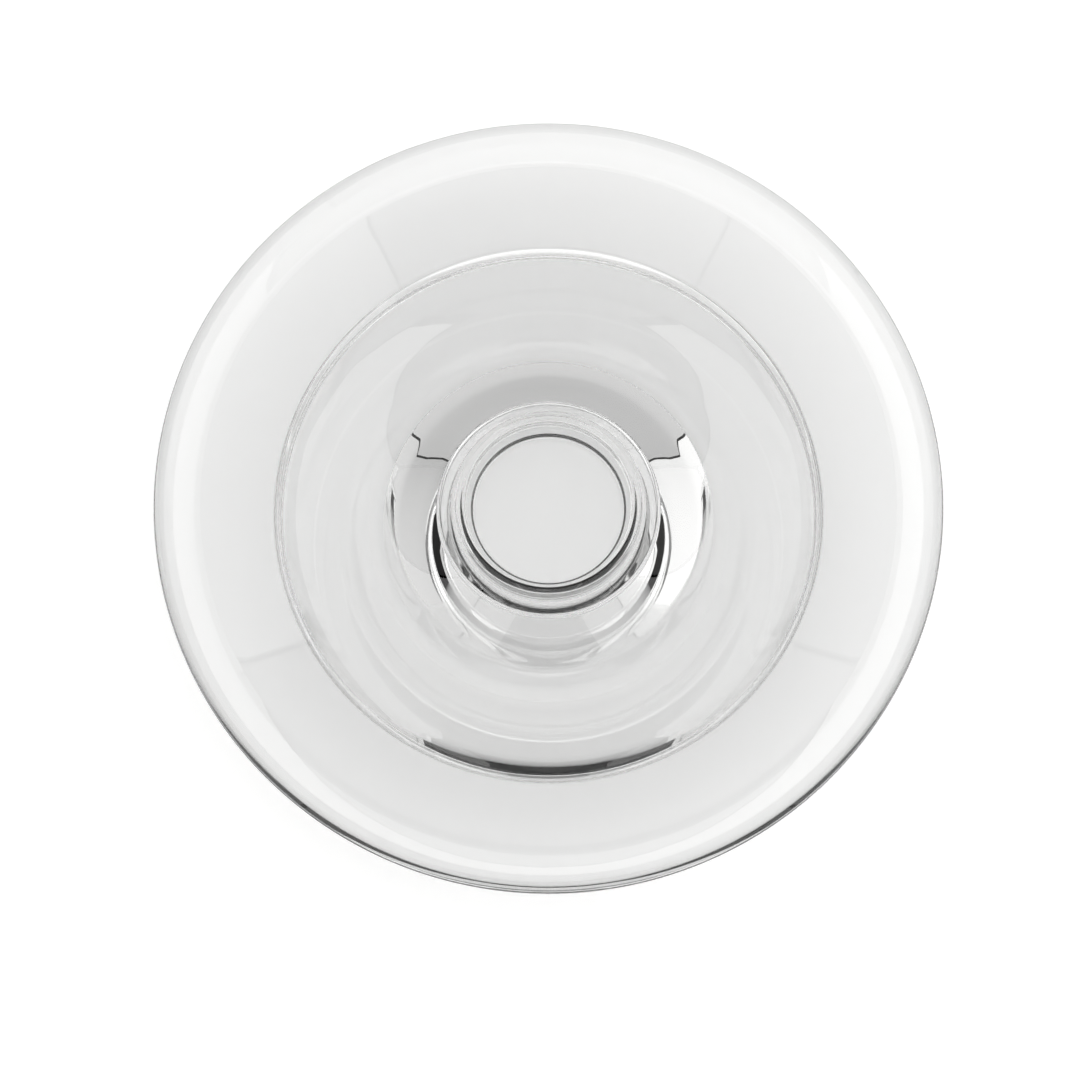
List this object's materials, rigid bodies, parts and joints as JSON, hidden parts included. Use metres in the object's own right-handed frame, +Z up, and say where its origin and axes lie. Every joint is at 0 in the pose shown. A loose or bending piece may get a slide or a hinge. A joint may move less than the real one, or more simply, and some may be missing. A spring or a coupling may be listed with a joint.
{
  "type": "chip and dip server",
  "caption": "Round clear glass chip and dip dish with a flared rim, a stepped chip well and a raised collar with a seat in the middle.",
  "frame": {"origin": "on the table, under the middle of the dish", "axes": "+Z up along the dish's own axis; the dish is round, so X and Y are free"},
  "size_m": [0.33, 0.33, 0.0643],
  "materials": {
    "clear_glass": "polished"
  },
  "bodies": {
    "root": {"serving_dish": "clear_glass"}
  },
  "joints": []
}
